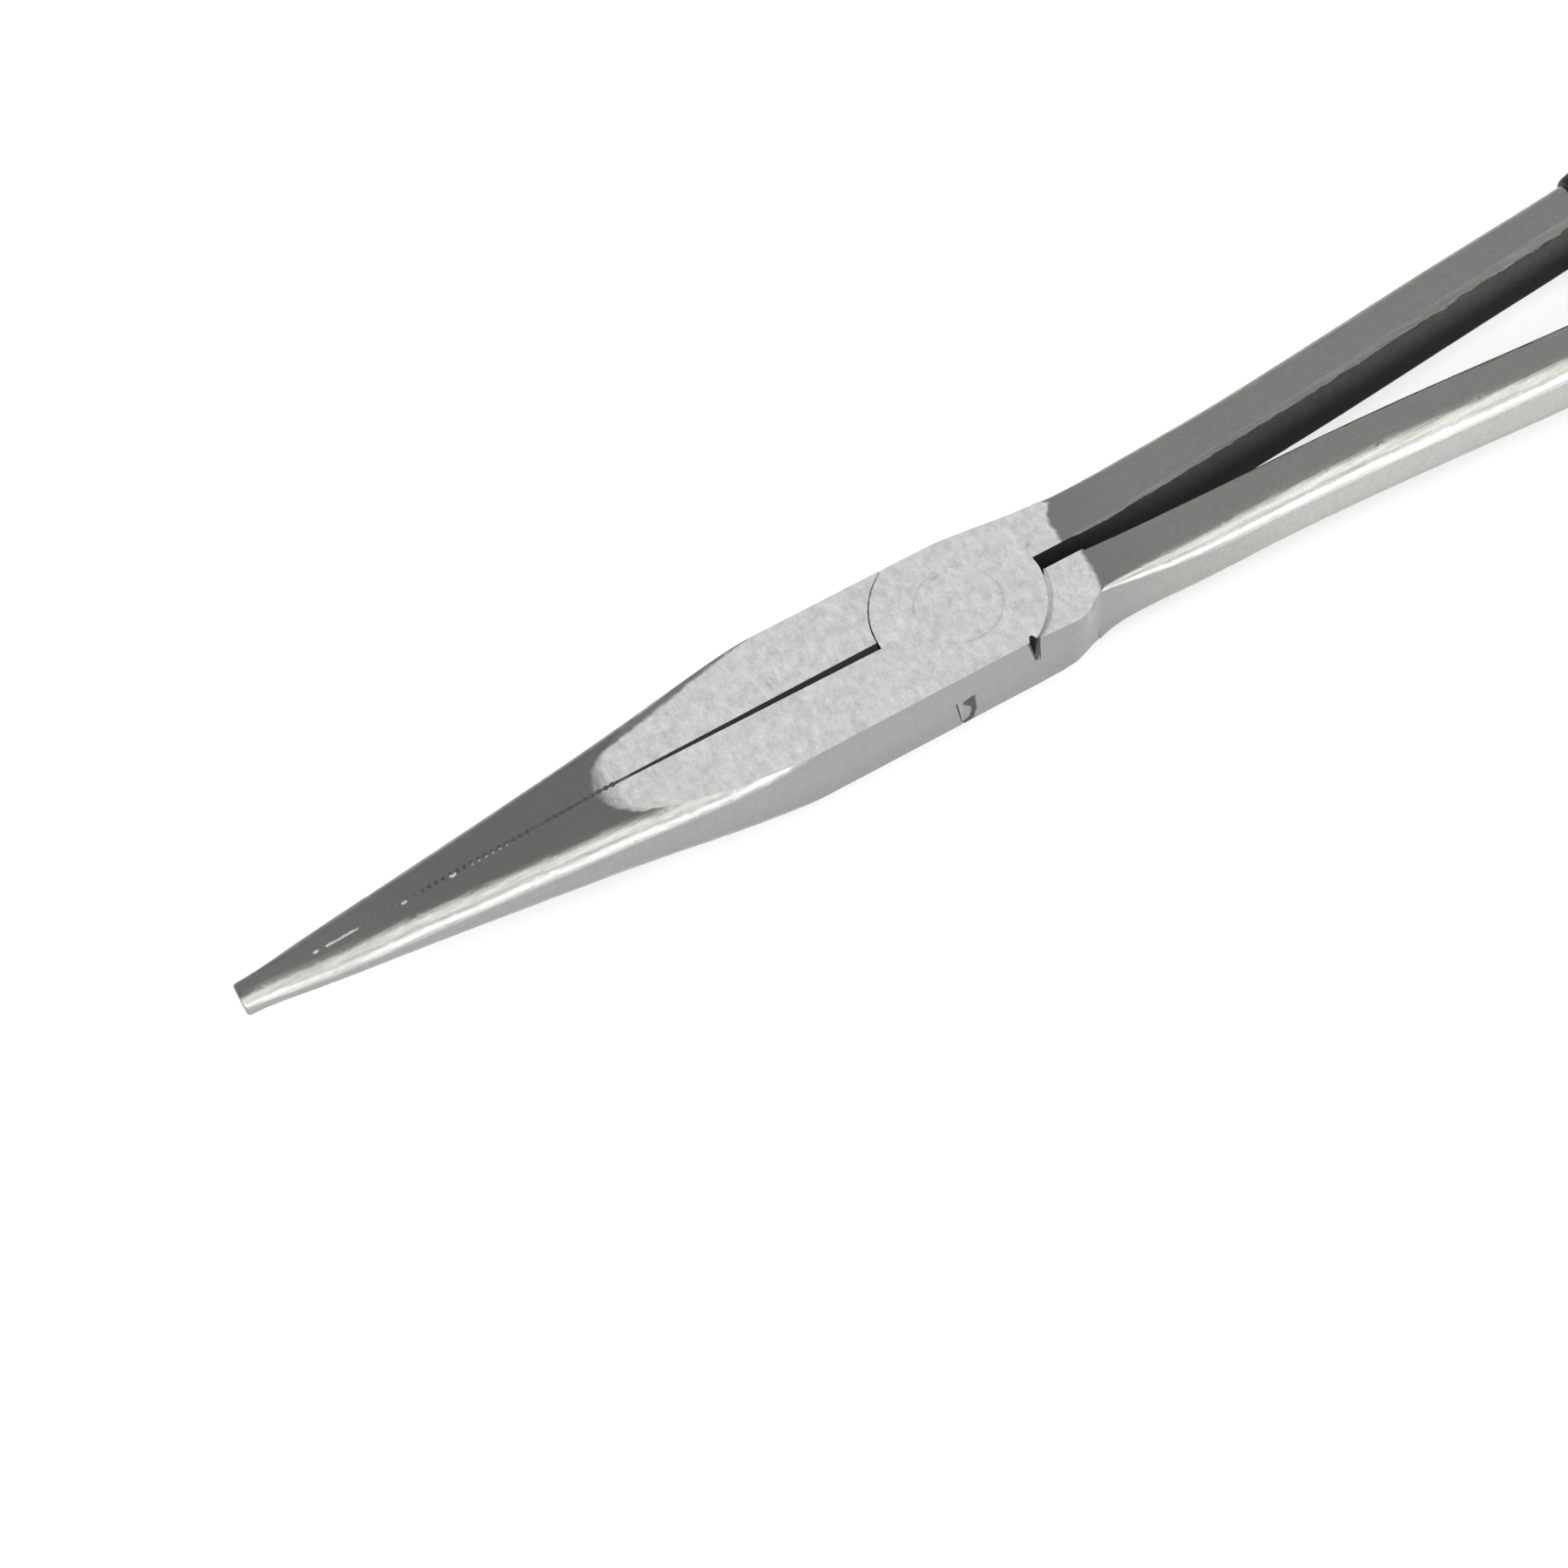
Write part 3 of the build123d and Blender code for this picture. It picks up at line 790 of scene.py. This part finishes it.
def grip_sleeve(name, side, body, node, material):
    """A sleeve with a slanting rim, finger swell, ribbed sides and domed end."""
    loops = sleeve_loops(side)
    points = (np.concatenate(loops) * MM).tolist()
    faces = []
    for i in range(len(loops) - 1):
        here, ahead = i * LOOP_POINTS, (i + 1) * LOOP_POINTS
        for k in range(LOOP_POINTS):
            j = (k + 1) % LOOP_POINTS
            faces.append((here + k, here + j, ahead + j, ahead + k))
    faces.append(tuple(range(LOOP_POINTS - 1, -1, -1)))
    faces.append(tuple(range(len(points) - LOOP_POINTS, len(points))))
    sleeve = mesh_object(name, points, faces, material)
    mesh = sleeve.data
    mesh.update()
    mesh.validate()
    mesh.shade_smooth()
    for cap in mesh.polygons[-2:]:
        cap.use_smooth = False
    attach(sleeve, body)
    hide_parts(node)


# ---------------------------------------------------------------- stage
FLOOR_Z = CAD_LO[2] - 0.0001  # metres
FLOOR_HALF = 3.0  # metres


def surroundings(tree, x, y, z):
    """Strength and colour of what polished steel sees in each direction.

    A broad overhead and front light over a pale table, with a grey card behind.
    """
    turn = tree.math("ARCTAN2", z, y) * (180 / math.pi)
    # degrees: 0 the +Y horizon, 90 overhead, 180 the -Y horizon
    turn = turn + tree.math("LESS_THAN", turn, -90.0) * 360.0
    card = x.ramp(0.02, 0.13, low=0.27, high=0.39)
    light = turn.ramp(12.0, -45.0).mix(card, 0.85)
    light = turn.ramp(90.0, 124.0, smooth=False).mix(light, 1.62)
    light = turn.band(158.0, 166.0, soft=9.0).mix(light, 1.22)
    # rows: start and end in degrees, strength reached at the end
    for start, end, strength in (
        (172.0, 184.0, 2.35), (198.0, 224.0, 0.98), (226.0, 245.0, 0.80),
    ):
        light = turn.ramp(start, end).mix(light, strength)
    warm = turn.band(90.0, 160.0, soft=6.0).blend(WHITE, (1.0, 0.995, 0.955, 1.0))
    return {"Color": warm, "Strength": light}


def by_ray(tree, plain, mirrored):
    """plain for every ray but mirror reflections."""
    glossy = tree.node("ShaderNodeLightPath").outputs["Is Glossy Ray"]
    return tree.shader("ShaderNodeMixShader", {0: glossy, 1: plain, 2: mirrored})


def studio_paper():
    """Pale paper that shows the surroundings wherever the steel mirrors it."""
    material, tree = new_material("studio_paper")
    coords = tree.node("ShaderNodeTexCoord")
    fibre = tree.noise(coords.outputs["Object"], scale=900.0, detail=3, rough=0.6)
    paper = tree.shader("ShaderNodeBsdfPrincipled", {
        "Base Color": (0.50 + fibre.swing(0.01)).grey(),
        "Roughness": 0.9,
        "Specular IOR Level": 0.0,
    })
    # light passing through the paper from a table below
    through = tree.shader("ShaderNodeEmission", {"Strength": 0.52})
    x, y, z = tree.xyz(tree.node("ShaderNodeNewGeometry").outputs["Incoming"])
    mirrored = tree.shader("ShaderNodeEmission", surroundings(tree, -x, -y, -z))
    lit_paper = tree.shader("ShaderNodeAddShader", {0: paper, 1: through})
    tree.node("ShaderNodeOutputMaterial", {"Surface": by_ray(tree, lit_paper, mirrored)})
    return material


def studio_floor():
    half = FLOOR_HALF
    corners = [(x, y, FLOOR_Z) for x, y in ((-half, -half), (half, -half), (half, half), (-half, half))]
    mesh_object("studio_floor", corners, [(0, 1, 2, 3)], studio_paper())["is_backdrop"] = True


def studio_world():
    world = bpy.data.worlds.new("studio")
    bpy.context.scene.world = world
    world.use_nodes = True
    tree = Tree(world.node_tree)
    coords = tree.node("ShaderNodeTexCoord")
    x, y, z = tree.xyz(coords.outputs["Generated"])
    dome = tree.shader("ShaderNodeBackground", {"Color": WHITE, "Strength": 1.30})
    mirrored = tree.shader("ShaderNodeBackground", surroundings(tree, x, y, z))
    tree.node("ShaderNodeOutputWorld", {"Surface": by_ray(tree, dome, mirrored)})


def softbox():
    """Overhead light on the -Y side, unseen in reflections; metres and watts."""
    data = bpy.data.lights.new("softbox", "AREA")
    data.shape = "RECTANGLE"
    data.size, data.size_y = 1.2, 0.9
    data.energy = 5.0
    box = bpy.data.objects.new("softbox", data)
    bpy.context.scene.collection.objects.link(box)
    box.location = (-0.15, -0.55, 1.05)
    target = Vector((0.04, 0.0, 0.0))
    box.rotation_mode = "QUATERNION"
    box.rotation_quaternion = (target - box.location).to_track_quat("-Z", "Y")
    box.visible_glossy = False


def aim_camera(position, azimuth, elevation, roll, lens):
    """Place the camera: position and lens in mm, angles in degrees."""
    azimuth, elevation, roll = (math.radians(v) for v in (azimuth, elevation, roll))
    back = Vector((
        math.sin(azimuth) * math.cos(elevation),
        -math.cos(azimuth) * math.cos(elevation),
        math.sin(elevation),
    ))
    right = Vector((math.cos(azimuth), math.sin(azimuth), 0.0))
    up = back.cross(right)
    across = right * math.cos(roll) - up * math.sin(roll)
    upward = right * math.sin(roll) + up * math.cos(roll)
    data = bpy.data.cameras.new("camera")
    data.sensor_width = 36.0
    data.lens = lens
    data.clip_start, data.clip_end = 0.01, 20.0
    camera = bpy.data.objects.new("camera", data)
    bpy.context.scene.collection.objects.link(camera)
    matrix = Matrix((across, upward, back)).transposed().to_4x4()
    matrix.translation = Vector(position) * MM
    camera.matrix_world = matrix
    bpy.context.scene.camera = camera


# ---------------------------------------------------------------- build
for node, name, side in (
    ("upper_half", "forged_steel_upper", 1),
    ("lower_half", "forged_steel_lower", -1),
    ("pivot_rivet", "rivet_steel_ground", 0),
):
    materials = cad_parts[node].data.materials
    materials.clear()
    materials.append(steel(name, side))

vinyl = black_vinyl()
grip_sleeve("upper_grip_sleeve", 1, "upper_lever", "upper_handle_grip", vinyl)
grip_sleeve("lower_grip_sleeve", -1, "lower_lever", "lower_handle_grip", vinyl)

studio_floor()
studio_world()
softbox()
view = bpy.context.scene.view_settings
view.view_transform = "Standard"
view.look = "None"
aim_camera(
    position=(-96.006, -253.336, 419.725),
    azimuth=-15.879, elevation=58.376, roll=14.007, lens=104.3,
)
